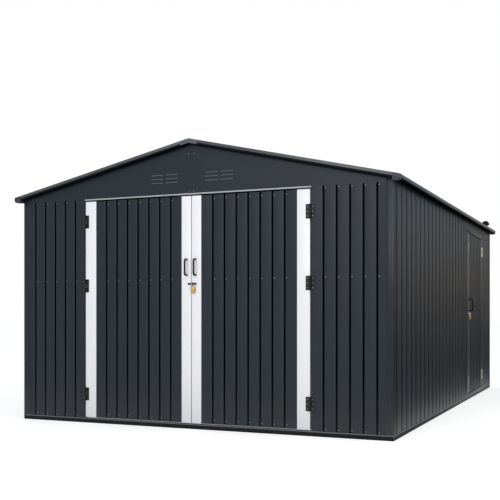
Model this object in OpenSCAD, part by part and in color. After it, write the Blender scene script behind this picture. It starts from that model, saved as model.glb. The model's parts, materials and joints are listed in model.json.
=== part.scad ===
// Metal garage: folded steel sheets on a light frame, with a low gabled roof,
// a pair of hinged front doors and a hinged side door near the rear.
// Millimetres. X runs across the front, +Y towards the rear, +Z up.
// The origin is on the ground, in the middle of the plan.

/* [Building] */
// Width across the corner posts
body_w = 3320; // [2800:10:4000]
// Depth from the front face to the rear face
body_d = 4840; // [4000:10:5900]
// Height of the front wall, up to the foot of the gable
wall_h = 1900; // [1580:10:2300]
// Slope of the roof, in degrees
roof_pitch = 12.75; // [8:0.25:16]
// How far the roof reaches past the side walls
eave_over = 60; // [45:1:90]
// How far the roof reaches past the front and rear walls
verge_over = 55; // [52:1:90]
// Height of the roof's underside above the wall, at the face of a side wall
roof_seat = 46; // [42:1:80]

/* [Sheets] */
// Thickness of the folded sheet
sheet_t = 1.5; // [1:0.1:3]
// Depth of a groove
groove_d = 10; // [6:0.5:14]
// Width of a groove at its mouth
groove_w = 14; // [10:0.5:20]
// Width of a groove at its bottom
groove_foot = 8; // [4:0.5:12]
// Spacing of the grooves in the front, rear and door sheets
front_pitch = 104; // [80:1:140]
// Spacing of the grooves in the side walls and of the ribs on the roof
side_pitch = 160; // [120:1:200]
// Distance from a building corner to the first groove
corner_plain = 100; // [80:1:130]

/* [Frame] */
// Height of the base rail
rail_h = 40; // [30:1:60]
// Width of the base rail
rail_w = 40; // [30:1:60]
// Width of each leg of a corner post
post_w = 60; // [45:1:80]
// Thickness of a corner post
post_t = 3; // [2:0.5:5]
// Width of a door post
door_post_w = 40; // [30:1:50]
// Depth of a door post
door_post_d = 50; // [42:1:70]
// Height of the beams over the front and rear walls
beam_h = 40; // [30:1:42]
// Depth of the beams over the walls
beam_d = 40; // [30:1:50]
// Width of the beams under the eaves
eave_beam_w = 30; // [20:1:40]
// Height of the wall girts
girt_h = 40; // [30:1:60]
// Depth of the wall girts
girt_d = 20; // [15:1:30]
// Height of the middle of the girts
girt_z = 1207; // [900:1:1400]
// Width of the roof members
roof_bar_w = 30; // [20:1:40]
// Depth of the purlins and tie beams
roof_bar_h = 40; // [30:1:44]
// Air between a roof sheet and the purlins under it or the trim on it
roof_air = 0.05; // [0.02:0.01:0.1]
// Depth of the ridge beam below the sheets
ridge_beam_h = 50; // [40:1:70]
// Distance of each tie beam from the middle of the building
tie_y = 800; // [500:10:1200]

/* [Trims] */
// Thickness of the trims and caps
trim_t = 2; // [1:0.5:3]
// Height of the trim's face
trim_h = 36; // [25:1:50]
// Width of the trim's flange on the roof
trim_flange = 30; // [25:1:40]
// Distance from the roof's end to its first rib
rib_inset = 20; // [16:1:26]
// Width of the ridge cap
cap_w = 150; // [100:1:200]
// Height of an eave corner cap
corner_cap_h = 46; // [40:1:60]
// Rounding under an eave corner cap
corner_cap_r = 22; // [10:1:30]
// Height of the pale strip over the front doors
header_h = 23; // [15:1:30]
// Thickness of the pale strip
header_t = 5; // [3:0.5:8]

/* [Front doors] */
// Clear width between the door posts
doorway_w = 2042; // [1700:2:2300]
// Thickness of a door leaf
leaf_t = 30; // [26:1:36]
// Gap at the hinged edge
hinge_gap = 9; // [8:0.5:12]
// Half of the gap where the leaves meet
half_seam = 3.5; // [3:0.5:6]
// Gap above the base rail
door_foot_gap = 8; // [6:1:12]
// Drop of the door top below the gable foot
door_drop = 20; // [18:1:30]
// Width of the pale stile at the hinges
outer_stile_w = 104; // [70:1:130]
// Width of the pale stile where the leaves meet
meeting_stile_w = 85; // [70:1:120]
// Height of the rails inside a leaf
leaf_rail_h = 60; // [40:1:80]

/* [Side door] */
// Distance from the rear face to the door frame
side_door_inset = 616; // [450:1:900]
// Width of the side door leaf
side_leaf_w = 907; // [700:1:1100]
// Gap around the side door leaf
side_gap = 6; // [5.5:0.5:8]
// Width of the frame beside the door
side_jamb_w = 75; // [50:1:100]
// Depth of the door frame
side_jamb_d = 45; // [42:1:60]
// Drop of the frame's top below the gable foot
side_head_drop = 60; // [40:1:100]
// Height of the frame over the door
side_head_h = 48; // [30:1:70]
// Height of the sill over the base rail
side_sill_h = 27; // [15:1:40]
// Width of a side door stile
side_stile_w = 60; // [50:1:90]

/* [Hardware] */
// Height of a hinge
hinge_h = 110; // [80:1:140]
// Width of a hinge plate
hinge_plate_w = 28; // [20:1:40]
// Thickness of a hinge plate
hinge_plate_t = 2.5; // [2:0.5:3]
// Radius of a hinge knuckle
knuckle_r = 7; // [6:0.5:8]
// Radius of a hinge pin
pin_r = 3; // [2:0.25:4]
// Radial clearance round a hinge pin
pin_fit = 0.05; // [0.02:0.01:0.1]
// Distance of a hinge pin from the door's face
pin_out = 9; // [9:0.5:12]
// Gap between the knuckles
knuckle_gap = 1; // [0.5:0.1:2]
// Height of a pull handle
handle_h = 141; // [100:1:180]
// Reach of a pull handle from the door
handle_reach = 48; // [35:1:50]
// Thickness of a pull handle's bar
handle_bar = 11; // [8:1:14]
// Distance of the front handles from the seam
handle_x = 40; // [30:1:60]
// Height of the middle of the front handles
handle_z = 1305; // [1200:1:1400]
// Width of a padlock
lock_w = 34; // [25:1:40]
// Thickness of a padlock
lock_t = 18; // [12:1:20]
// Height of a padlock's body
lock_h = 52; // [40:1:60]
// Radius of a shackle's arch
shackle_r = 10; // [8:0.5:11]
// Thickness of a shackle
shackle_t = 5; // [4:0.5:6]
// Thickness of the hasp plates
hasp_t = 3; // [2:0.5:4]
// Height of the hole that the front padlock hangs in
front_hasp_z = 1170; // [1000:1:1200]
// Height of the hole that the side padlock hangs in
side_hasp_z = 925; // [800:1:940]
// Radius of the vent's pipe
vent_pipe_r = 28; // [20:1:35]
// Radius of the vent's hood
vent_hood_r = 46; // [36:1:52]
// Height of the vent's pipe
vent_pipe_h = 50; // [30:1:70]

/* [Hidden] */
$fn = 48;

half_w = body_w / 2;
half_d = body_d / 2;
far = body_w + body_d;

// Outer faces of the wall sheets, and how deep their folds reach
sheet_x = half_w - post_t;
sheet_y = half_d - post_t;
fold_d = groove_d + sheet_t;
inner_x = sheet_x - sheet_t;
inner_y = sheet_y - sheet_t;
fold_x = sheet_x - fold_d;
fold_y = sheet_y - fold_d;

// Roof outline
roof_x = half_w + eave_over;
roof_y = half_d + verge_over;
roof_run = 2 * (roof_y - trim_t);
ridge_gap = 5;
slope_end = (roof_x - trim_t - fold_d * sin(roof_pitch)) / cos(roof_pitch);
cap_half = cap_w / 2;

// Front doors
door_half = doorway_w / 2;
leaf_outer = door_half - hinge_gap;
stile_inner = leaf_outer - outer_stile_w;
stile_meeting = half_seam + meeting_stile_w;
leaf_z0 = rail_h + door_foot_gap;
leaf_z1 = wall_h - door_drop;
leaf_panel_w = stile_inner - stile_meeting;
front_pin_x = door_half - hinge_gap / 2;
front_pin_y = -half_d - pin_out;
front_hinge_zs = [wall_h - 190, 1165, 245];

// Side door
frame_y1 = half_d - side_door_inset;
side_open_y1 = frame_y1 - side_jamb_w;
side_leaf_y1 = side_open_y1 - side_gap;
side_leaf_y0 = side_leaf_y1 - side_leaf_w;
side_open_y0 = side_leaf_y0 - side_gap;
frame_y0 = side_open_y0 - side_jamb_w;
frame_z1 = wall_h - side_head_drop;
side_open_z1 = frame_z1 - side_head_h;
side_open_z0 = rail_h + side_sill_h;
side_leaf_z0 = side_open_z0 + side_gap;
side_leaf_z1 = side_open_z1 - side_gap;
side_panel_w = side_leaf_w - 2 * side_stile_w;
side_hinge_zs = [side_leaf_z1 - 153, 212];
latch_plate = [26, hasp_t, 86];
latch_inset = 5;
side_handle_z = 1015;
side_handle_inset = 42;

// Hardware
hole_r = 4.5;
lug_t = 4;
lug_reach = 24;
lug_hole_y = lug_reach - 9.5;
plate_h = 16;
hang_gap = 0.3;
lock_x = half_seam + 1 + lock_w / 2;

// Underside of the roof at a distance x from the middle
function under_z(x) = wall_h + roof_seat + (half_w - abs(x)) * tan(roof_pitch);

// The same plane raised by v, measured square to the slope
function over_z(x, v) = under_z(x) + v / cos(roof_pitch);

// Places of evenly spaced folds from first to last, close to the wanted pitch
function steps(first, last, pitch) = round((last - first) / pitch);
function even(first, last, pitch) =
    let (n = steps(first, last, pitch))
    [for (i = [0 : n]) first + (last - first) * i / n];

// Outline of one groove: the hollow side, then the back of the same fold
function groove_front(g) = [
    [g - groove_w / 2, 0], [g - groove_foot / 2, groove_d],
    [g + groove_foot / 2, groove_d], [g + groove_w / 2, 0],
];
function groove_back(g) = [
    [g + groove_w / 2 + sheet_t, sheet_t], [g + groove_foot / 2 + sheet_t, fold_d],
    [g - groove_foot / 2 - sheet_t, fold_d], [g - groove_w / 2 - sheet_t, sheet_t],
];

// Places of the grooves on each kind of sheet
function front_wall_grooves() =
    [for (g = [corner_plain - 1 : front_pitch : half_w - post_w - door_half - groove_w]) g];
function across_grooves(run, inset) = even(inset, run - inset, front_pitch);
function leaf_grooves(run) =
    let (n = round(run / front_pitch))
    [for (i = [1 : n - 1]) run * i / n];
side_first = corner_plain - post_t - sheet_t;
side_run = 2 * inner_y;
side_grooves = even(side_first, side_run - side_first, side_pitch);
right_front_run = frame_y0 + inner_y;
rib_places = even(rib_inset, roof_run - rib_inset, side_pitch);

// A folded sheet standing on XY: it runs along X, its face is at y = 0 and it
// folds towards +Y
module ribbed_sheet(run, h, places) {
    n = len(places);
    linear_extrude(h)
        polygon(concat(
            [[0, 0]],
            [for (g = places) each groove_front(g)],
            [[run, 0], [run, sheet_t]],
            [for (i = [n - 1 : -1 : 0]) each groove_back(places[i])],
            [[0, sheet_t]]));
}

// A box given by its two corners
module box(low, high) {
    translate(low)
        cube(high - low);
}

module both_sides() {
    children();
    mirror([1, 0, 0])
        children();
}

module both_ends() {
    children();
    mirror([0, 1, 0])
        children();
}

// A profile drawn in X and Z, run along Y from y0 to y1
module along_y(y0, y1) {
    translate([0, y1, 0])
        rotate([90, 0, 0])
            linear_extrude(y1 - y0)
                children();
}

// The right-hand slope: local X runs along the building, local Y stands square
// to the sheets and local Z runs down from the ridge
module on_slope() {
    translate([0, 0, under_z(0)])
        rotate([0, roof_pitch, 0])
            rotate([90, 0, 90])
                children();
}

// Local frame on the side door's face: -Y points out of the building
module on_right_side(y, z) {
    translate([half_w, y, z])
        rotate([0, 0, 90])
            children();
}

// ---- base and posts ----

module base_rails_front_rear() {
    color("#202327")
        both_ends()
            box([-half_w, -half_d, 0], [half_w, rail_w - half_d, rail_h]);
}

module base_rails_sides() {
    color("#202327")
        both_sides()
            box([half_w - rail_w, rail_w - half_d, 0], [half_w, half_d - rail_w, rail_h]);
}

module corner_posts() {
    color("#33373c")
        both_sides()
            both_ends()
                translate([half_w, -half_d, rail_h])
                    linear_extrude(under_z(half_w) - rail_h)
                        polygon([[-post_w, 0], [0, 0], [0, post_w], [-post_t, post_w],
                                 [-post_t, post_t], [-post_w, post_t]]);
}

module door_posts() {
    color("#2a2d31")
        both_sides()
            box([door_half, -inner_y, rail_h],
                [door_half + door_post_w, door_post_d - inner_y, wall_h]);
}

// ---- wall sheets ----

module front_wall_right() {
    color("#383c42")
        translate([door_half, -sheet_y, rail_h])
            ribbed_sheet(sheet_x - door_half, wall_h - rail_h, front_wall_grooves());
}

module front_wall_left() {
    mirror([1, 0, 0])
        front_wall_right();
}

module left_wall() {
    color("#383c42")
        translate([-sheet_x, inner_y, rail_h])
            rotate([0, 0, -90])
                ribbed_sheet(side_run, under_z(sheet_x) - rail_h, side_grooves);
}

module rear_wall() {
    color("#383c42")
        translate([sheet_x, sheet_y, rail_h])
            rotate([0, 0, 180])
                ribbed_sheet(2 * sheet_x, wall_h - rail_h,
                             across_grooves(2 * sheet_x, corner_plain - post_t));
}

module right_wall_front() {
    color("#383c42")
        translate([sheet_x, -inner_y, rail_h])
            rotate([0, 0, 90])
                ribbed_sheet(right_front_run, under_z(sheet_x) - rail_h,
                             [for (g = side_grooves) if (g < right_front_run - 4 * groove_w) g]);
}

module right_wall_rear() {
    color("#383c42")
        box([inner_x, frame_y1, rail_h], [sheet_x, inner_y, under_z(sheet_x)]);
}

module right_wall_over_door() {
    color("#383c42")
        box([inner_x, frame_y0, frame_z1], [sheet_x, frame_y1, under_z(sheet_x)]);
}

module gable_front_right() {
    color("#34383d")
        along_y(-sheet_y, -inner_y)
            polygon([[0, wall_h], [sheet_x, wall_h],
                     [sheet_x, under_z(sheet_x)], [0, under_z(0)]]);
}

module gable_front_left() {
    mirror([1, 0, 0])
        gable_front_right();
}

module gable_rear_right() {
    mirror([0, 1, 0])
        gable_front_right();
}

module gable_rear_left() {
    mirror([0, 1, 0])
        gable_front_left();
}

// ---- door surrounds ----

module door_header() {
    color("#b9bbbd")
        box([-door_half, -sheet_y - header_t, wall_h + 11 - header_h],
            [door_half, -sheet_y, wall_h + 11]);
}

module side_door_jambs() {
    color("#33373c") {
        box([half_w - side_jamb_d, frame_y0, rail_h], [half_w, side_open_y0, side_open_z1]);
        box([half_w - side_jamb_d, side_open_y1, rail_h], [half_w, frame_y1, side_open_z1]);
    }
}

module side_door_head() {
    color("#33373c")
        box([half_w - side_jamb_d, frame_y0, side_open_z1], [half_w, frame_y1, frame_z1]);
}

module side_door_sill() {
    color("#33373c")
        box([half_w - side_jamb_d, side_open_y0, rail_h], [half_w, side_open_y1, side_open_z0]);
}

// ---- frame ----

module cross_beams() {
    color("#2a2d31")
        both_ends()
            box([-inner_x, -inner_y, wall_h], [inner_x, beam_d - inner_y, wall_h + beam_h]);
}

module eave_beams() {
    x0 = fold_x - eave_beam_w;
    color("#2a2d31")
        both_sides()
            along_y(beam_d - inner_y, inner_y - beam_d)
                polygon([[x0, wall_h], [fold_x, wall_h],
                         [fold_x, under_z(fold_x)], [x0, under_z(x0)]]);
}

// Girts stop just short of each other at the corners
module wall_girts() {
    z0 = girt_z - girt_h / 2;
    z1 = girt_z + girt_h / 2;
    corner_x = fold_x - girt_d - 2;
    color("#2a2d31") {
        both_sides()
            box([door_half + door_post_w, -fold_y, z0], [corner_x, girt_d - fold_y, z1]);
        box([-corner_x, fold_y - girt_d, z0], [corner_x, fold_y, z1]);
        box([-fold_x, -inner_y, z0], [girt_d - fold_x, inner_y, z1]);
        box([fold_x - girt_d, -inner_y, z0], [fold_x, frame_y0, z1]);
        box([inner_x - girt_d, frame_y1, z0], [inner_x, inner_y, z1]);
    }
}

module tie_beams() {
    x1 = fold_x - eave_beam_w;
    color("#2a2d31")
        both_ends()
            box([-x1, tie_y - roof_bar_w / 2, wall_h + 5],
                [x1, tie_y + roof_bar_w / 2, wall_h + 5 + roof_bar_h]);
}

module king_posts() {
    color("#2a2d31")
        both_ends()
            box([-roof_bar_w / 2, tie_y - roof_bar_w / 2, wall_h + 5 + roof_bar_h],
                [roof_bar_w / 2, tie_y + roof_bar_w / 2, under_z(0) - ridge_beam_h]);
}

module ridge_beam() {
    x1 = roof_bar_w / 2 + 5;
    color("#2a2d31")
        along_y(-inner_y, inner_y)
            polygon([[-x1, under_z(0) - ridge_beam_h], [x1, under_z(0) - ridge_beam_h],
                     [x1, under_z(x1)], [0, under_z(0)], [-x1, under_z(x1)]]);
}

module purlins() {
    x0 = half_w / 2 - roof_bar_w / 2;
    x1 = half_w / 2 + roof_bar_w / 2;
    color("#2a2d31")
        both_sides()
            along_y(-inner_y, inner_y)
                polygon([[x0, under_z(x1) - roof_bar_h], [x1, under_z(x1) - roof_bar_h],
                         [x1, under_z(x1) - roof_air], [x0, under_z(x0) - roof_air]]);
}

// ---- roof ----

module roof_right() {
    color("#30343a")
        on_slope()
            translate([-roof_run / 2, 0, ridge_gap])
                ribbed_sheet(roof_run, slope_end - ridge_gap, rib_places);
}

module roof_left() {
    mirror([1, 0, 0])
        roof_right();
}

module ridge_cap() {
    base = over_z(cap_half, fold_d);
    top = over_z(0, fold_d);
    lap = trim_t / cos(roof_pitch);
    drop = trim_h - trim_t;
    color("#4a4f57") {
        along_y(-roof_y, roof_y)
            polygon([[-cap_half, base], [0, top], [cap_half, base],
                     [cap_half, base + lap], [0, top + lap], [-cap_half, base + lap]]);
        both_ends()
            along_y(-roof_y, trim_t - roof_y)
                polygon([[-cap_half, base - drop], [0, top - drop], [cap_half, base - drop],
                         [cap_half, base + lap / 2], [0, top + lap / 2],
                         [-cap_half, base + lap / 2]]);
    }
}

module verge_trims() {
    top = fold_d + trim_t;
    color("#4a4f57")
        both_sides()
            both_ends()
                intersection() {
                    on_slope()
                        translate([-roof_y, 0, 0])
                            linear_extrude(slope_end)
                                polygon([[0, top], [0, top - trim_h], [trim_t, top - trim_h],
                                         [trim_t, fold_d], [trim_t + trim_flange, fold_d],
                                         [trim_t + trim_flange, top]]);
                    box([cap_half, -far, 0], [half_w, far, far]);
                }
}

module eave_trims() {
    x1 = roof_x;
    x2 = roof_x - trim_t;
    x3 = x2 - trim_flange;
    top = fold_d + trim_t;
    color("#4a4f57")
        both_sides()
            along_y(-half_d, half_d)
                polygon([[x1, over_z(x1, top)], [x1, over_z(x1, top) - trim_h],
                         [x2, over_z(x1, top) - trim_h], [x2, over_z(x2, fold_d + roof_air)],
                         [x3, over_z(x3, fold_d + roof_air)], [x3, over_z(x3, top)]]);
}

// A moulded cap closes each corner of the eaves: a cover over the sheets' ends,
// and a block with a rounded outer edge under them
module eave_corner_caps() {
    x1 = roof_x;
    x2 = roof_x - trim_t;
    top = fold_d + trim_t;
    z0 = over_z(x1, top) - corner_cap_h;
    r = corner_cap_r;
    color("#17181a")
        both_sides()
            both_ends()
                difference() {
                    along_y(-roof_y, -half_d)
                        polygon(concat(
                            [[half_w, z0], [half_w, over_z(half_w, top)], [x1, over_z(x1, top)]],
                            [for (a = [0 : 15 : 90]) [x1 - r + r * cos(a), z0 + r - r * sin(a)]]));
                    along_y(trim_t - roof_y, 1 - half_d)
                        polygon([[half_w - 1, under_z(half_w - 1)], [x2, under_z(x2)],
                                 [x2, over_z(x2, fold_d)],
                                 [half_w - 1, over_z(half_w - 1, fold_d)]]);
                }
}

// The vent stands on the flat strip between the second and third ribs from the
// rear, just inside the eave
module roof_vent() {
    n = len(rib_places);
    strip = (rib_places[n - 2] + rib_places[n - 3]) / 2;
    color("#121314")
        on_slope()
            translate([strip - roof_run / 2, sheet_t, (half_w - 35) / cos(roof_pitch)])
                rotate([-90, 0, 0]) {
                    cylinder(h = vent_pipe_h, r = vent_pipe_r);
                    translate([0, 0, vent_pipe_h])
                        rotate_extrude()
                            intersection() {
                                circle(r = vent_hood_r);
                                square([vent_hood_r, vent_hood_r]);
                            }
                }
}

// ---- hinges ----
// A hinge stands on Z round its pin. The door lies towards -X with its face at
// y = pin_out, and the fixed side towards +X with its face at y = pin_out + step.

module hinge_barrel(z) {
    translate([0, 0, z])
        cylinder(h = (hinge_h - 2 * knuckle_gap) / 3, r = knuckle_r);
}

module door_hinge() {
    part_h = (hinge_h - 2 * knuckle_gap) / 3;
    web_x = knuckle_r + hinge_plate_t;
    for (z = [-hinge_h / 2, hinge_h / 2 - part_h]) {
        hinge_barrel(z);
        box([-web_x - 3, -hinge_plate_t, z], [0, pin_out, z + part_h]);
    }
    box([-web_x - hinge_plate_w, pin_out - hinge_plate_t, -hinge_h / 2],
        [-web_x, pin_out, hinge_h / 2]);
    translate([0, 0, -hinge_h / 2])
        cylinder(h = hinge_h, r = pin_r);
}

module fixed_hinge(step) {
    part_h = (hinge_h - 2 * knuckle_gap) / 3;
    web_x = knuckle_r + hinge_plate_t - 1;
    face = pin_out + step;
    difference() {
        union() {
            hinge_barrel(-part_h / 2);
            box([0, -hinge_plate_t, -part_h / 2], [web_x + 3, face, part_h / 2]);
            box([web_x, face - hinge_plate_t, -hinge_h / 2],
                [web_x + hinge_plate_w, face, hinge_h / 2]);
        }
        translate([0, 0, -hinge_h / 2])
            cylinder(h = hinge_h, r = pin_r + pin_fit);
    }
}

module at_front_hinges() {
    for (z = front_hinge_zs)
        translate([front_pin_x, front_pin_y, z])
            children();
}

module at_side_hinges() {
    for (z = side_hinge_zs)
        on_right_side(side_leaf_y1 + side_gap / 2, z)
            translate([0, -pin_out, 0])
                children();
}

module front_hinge_plates() {
    color("#121314")
        both_sides()
            at_front_hinges()
                fixed_hinge(post_t);
}

module side_hinge_plates() {
    color("#8f9296")
        at_side_hinges()
            fixed_hinge(0);
}

// ---- front door leaves ----

module front_leaf_panel() {
    color("#383c42")
        translate([stile_meeting, -sheet_y, leaf_z0])
            ribbed_sheet(leaf_panel_w, leaf_z1 - leaf_z0, leaf_grooves(leaf_panel_w));
}

module front_leaf_stiles() {
    color("#e6e7e9") {
        box([half_seam, -half_d, leaf_z0], [stile_meeting, leaf_t - half_d, leaf_z1]);
        box([stile_inner, -half_d, leaf_z0], [leaf_outer, leaf_t - half_d, leaf_z1]);
    }
}

module front_leaf_rails() {
    color("#2a2d31")
        for (z = [leaf_z0, girt_z - leaf_rail_h / 2, leaf_z1 - leaf_rail_h])
            box([stile_meeting, -fold_y, z],
                [stile_inner, leaf_t - half_d, z + leaf_rail_h]);
}

// A pull handle on a face at y = 0, reaching towards -Y
module pull_handle() {
    half = handle_h / 2;
    b = handle_bar / 2;
    for (z = [-half, half - handle_bar])
        box([-b, -handle_reach, z], [b, 0, z + handle_bar]);
    box([-b, -handle_reach, -half], [b, handle_bar - handle_reach, half]);
}

// A hasp on a face at y = 0: a plate, and a lug with the hole for the shackle
module hasp(x0, x1) {
    box([x0, -hasp_t, -plate_h / 2], [x1, 0, plate_h / 2]);
    difference() {
        box([-lug_t / 2, -lug_reach, -12], [lug_t / 2, 0, 12]);
        translate([-lug_t, -lug_hole_y, 0])
            rotate([0, 90, 0])
                cylinder(h = 2 * lug_t, r = hole_r);
    }
}

// A padlock that hangs in the lug's hole, which is at the origin's height
module padlock() {
    top = hang_gap - hole_r + shackle_t / 2;
    arch = top - shackle_r;
    body_top = arch - 9;
    translate([0, -lug_hole_y, 0]) {
        translate([0, 0, arch])
            rotate([90, 0, 0])
                rotate_extrude(angle = 180)
                    translate([shackle_r, 0])
                        circle(d = shackle_t);
        for (x = [-shackle_r, shackle_r])
            translate([x, 0, body_top - 5])
                cylinder(h = arch - body_top + 5, d = shackle_t);
        box([-lock_w / 2, -lock_t / 2, body_top - lock_h], [lock_w / 2, lock_t / 2, body_top]);
    }
}

module right_door_panel() {
    front_leaf_panel();
}

module right_door_stiles() {
    front_leaf_stiles();
}

module right_door_rails() {
    front_leaf_rails();
}

module right_door_hinges() {
    color("#121314")
        at_front_hinges()
            door_hinge();
}

module right_door_handle() {
    color("#121314")
        translate([handle_x, -half_d, handle_z])
            pull_handle();
}

module right_door_hasp() {
    color("#121314")
        translate([lock_x, -half_d, front_hasp_z])
            hasp(half_seam + 1 - lock_x, lock_w * 3 / 4);
}

module front_padlock() {
    color("#b58a3c")
        translate([lock_x, -half_d, front_hasp_z])
            padlock();
}

module left_door_panel() {
    mirror([1, 0, 0])
        front_leaf_panel();
}

module left_door_stiles() {
    mirror([1, 0, 0])
        front_leaf_stiles();
}

module left_door_rails() {
    mirror([1, 0, 0])
        front_leaf_rails();
}

module left_door_hinges() {
    mirror([1, 0, 0])
        right_door_hinges();
}

module left_door_handle() {
    mirror([1, 0, 0])
        right_door_handle();
}

module left_door_keeper() {
    color("#121314")
        box([-half_seam - 1 - lock_w * 3 / 4, -half_d - hasp_t, front_hasp_z - plate_h / 2],
            [-half_seam - 1, -half_d, front_hasp_z + plate_h / 2]);
}

// ---- side door leaf ----

module side_door_panel() {
    color("#383c42")
        translate([sheet_x, side_leaf_y0 + side_stile_w, side_leaf_z0])
            rotate([0, 0, 90])
                ribbed_sheet(side_panel_w, side_leaf_z1 - side_leaf_z0,
                             leaf_grooves(side_panel_w));
}

module side_door_stiles() {
    color("#44484e") {
        box([half_w - leaf_t, side_leaf_y0, side_leaf_z0],
            [half_w, side_leaf_y0 + side_stile_w, side_leaf_z1]);
        box([half_w - leaf_t, side_leaf_y1 - side_stile_w, side_leaf_z0],
            [half_w, side_leaf_y1, side_leaf_z1]);
    }
}

module side_door_rails() {
    color("#2a2d31")
        for (z = [side_leaf_z0, (side_leaf_z0 + side_leaf_z1) / 2 - leaf_rail_h / 2,
                  side_leaf_z1 - leaf_rail_h])
            box([half_w - leaf_t, side_leaf_y0 + side_stile_w, z],
                [fold_x, side_leaf_y1 - side_stile_w, z + leaf_rail_h]);
}

module side_door_hinges() {
    color("#8f9296")
        at_side_hinges()
            door_hinge();
}

module side_door_handle() {
    color("#121314")
        on_right_side(side_leaf_y0 + side_handle_inset, side_handle_z)
            pull_handle();
}

// Two bolt plates and the padlock's hasp, along the opening edge
module side_door_latches() {
    color("#a99f84") {
        for (z = side_hinge_zs)
            on_right_side(side_leaf_y0 + latch_inset, z - latch_plate[2] / 2)
                translate([0, -hasp_t, 0])
                    cube(latch_plate);
        on_right_side(side_leaf_y0 + latch_inset + lock_w / 2, side_hasp_z)
            hasp(-lock_w / 2, lock_w / 2);
    }
}

module side_padlock() {
    color("#b58a3c")
        on_right_side(side_leaf_y0 + latch_inset + lock_w / 2, side_hasp_z)
            padlock();
}

base_rails_front_rear();
base_rails_sides();
corner_posts();
door_posts();
front_wall_left();
front_wall_right();
left_wall();
rear_wall();
right_wall_front();
right_wall_rear();
right_wall_over_door();
gable_front_left();
gable_front_right();
gable_rear_left();
gable_rear_right();
door_header();
side_door_jambs();
side_door_head();
side_door_sill();
cross_beams();
eave_beams();
wall_girts();
tie_beams();
king_posts();
ridge_beam();
purlins();
roof_left();
roof_right();
ridge_cap();
verge_trims();
eave_trims();
eave_corner_caps();
roof_vent();
front_hinge_plates();
side_hinge_plates();
left_door_panel();
left_door_stiles();
left_door_rails();
left_door_hinges();
left_door_handle();
left_door_keeper();
right_door_panel();
right_door_stiles();
right_door_rails();
right_door_hinges();
right_door_handle();
right_door_hasp();
front_padlock();
side_door_panel();
side_door_stiles();
side_door_rails();
side_door_hinges();
side_door_handle();
side_door_latches();
side_padlock();
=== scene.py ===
"""The looks of the metal garage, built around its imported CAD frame.

Metres, in the frame's own axes: X across the front, +Y to the rear, +Z up.
"""

import json
import math

import bmesh
import bpy
from mathutils import Matrix, Vector

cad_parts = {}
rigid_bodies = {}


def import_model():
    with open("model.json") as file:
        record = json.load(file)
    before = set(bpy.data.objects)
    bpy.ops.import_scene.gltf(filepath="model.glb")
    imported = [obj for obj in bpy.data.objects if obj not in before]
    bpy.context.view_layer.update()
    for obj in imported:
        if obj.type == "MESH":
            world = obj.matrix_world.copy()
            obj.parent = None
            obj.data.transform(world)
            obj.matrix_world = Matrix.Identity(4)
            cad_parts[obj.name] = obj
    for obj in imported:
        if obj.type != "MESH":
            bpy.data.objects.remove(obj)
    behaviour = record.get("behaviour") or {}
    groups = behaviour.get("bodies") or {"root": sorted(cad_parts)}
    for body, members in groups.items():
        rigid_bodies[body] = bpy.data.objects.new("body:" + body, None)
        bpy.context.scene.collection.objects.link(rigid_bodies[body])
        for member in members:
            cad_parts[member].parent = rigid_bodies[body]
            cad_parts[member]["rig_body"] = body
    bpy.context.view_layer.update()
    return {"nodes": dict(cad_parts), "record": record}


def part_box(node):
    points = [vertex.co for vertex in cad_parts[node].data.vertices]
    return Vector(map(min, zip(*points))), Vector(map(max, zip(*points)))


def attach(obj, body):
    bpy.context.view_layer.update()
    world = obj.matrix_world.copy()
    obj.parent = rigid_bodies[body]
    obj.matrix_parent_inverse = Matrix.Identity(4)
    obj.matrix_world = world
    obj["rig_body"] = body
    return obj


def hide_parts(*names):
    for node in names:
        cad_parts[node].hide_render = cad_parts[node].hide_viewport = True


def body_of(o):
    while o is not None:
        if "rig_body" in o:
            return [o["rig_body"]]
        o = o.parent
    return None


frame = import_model()

# ---- sizes that the frame doesn't state ----

ROOF_PITCH = math.radians(12.75)
SHEET_T = 0.0015
GROOVE_MOUTH = 0.014
GROOVE_FOOT = 0.008
FOLD_RADIUS = 0.0028
SIDE_FOLD_RADIUS = 0.009
FRONT_PITCH = 0.104
SIDE_PITCH = 0.160
FIRST_FRONT_GROOVE = 0.099
CORNER_PLAIN = 0.0955
RIB_INSET = 0.020
GIRT_Z = 1.207
SCREW_BESIDE = 0.016
HEAD_RADIUS = 0.0042
SCREW_FROM_EDGE = 0.030
MERGE_WITHIN = 0.00002

X = Vector((1, 0, 0))
Y = Vector((0, 1, 0))
Z = Vector((0, 0, 1))


# ---- node helpers ----

def wire(tree, source, target):
    tree.links.new(source, target)


def add_node(tree, kind, **settings):
    node = tree.nodes.new(kind)
    for name, value in settings.items():
        setattr(node, name, value)
    return node


def maths(tree, operation, first, second=0.0, third=None):
    """One Math node; numbers are set on it and sockets are wired to it."""
    node = add_node(tree, "ShaderNodeMath", operation=operation)
    for place, value in enumerate((first, second, third)):
        if value is None:
            continue
        if isinstance(value, (int, float)):
            node.inputs[place].default_value = value
        else:
            wire(tree, value, node.inputs[place])
    return node.outputs[0]


def noise(tree, vector, scale, detail=3.0, roughness=0.55):
    node = add_node(tree, "ShaderNodeTexNoise")
    node.inputs["Scale"].default_value = scale
    node.inputs["Detail"].default_value = detail
    node.inputs["Roughness"].default_value = roughness
    wire(tree, vector, node.inputs["Vector"])
    return node.outputs["Fac"]


def shader_group(name, inputs, outputs):
    """An empty shader group with named sockets: {name: (type, default)} and {name: type}."""
    tree = bpy.data.node_groups.new(name, "ShaderNodeTree")
    for label, (kind, value) in inputs.items():
        socket = tree.interface.new_socket(name=label, in_out="INPUT", socket_type=kind)
        socket.default_value = value
    for label, kind in outputs.items():
        tree.interface.new_socket(name=label, in_out="OUTPUT", socket_type=kind)
    return tree, add_node(tree, "NodeGroupInput"), add_node(tree, "NodeGroupOutput")


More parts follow.
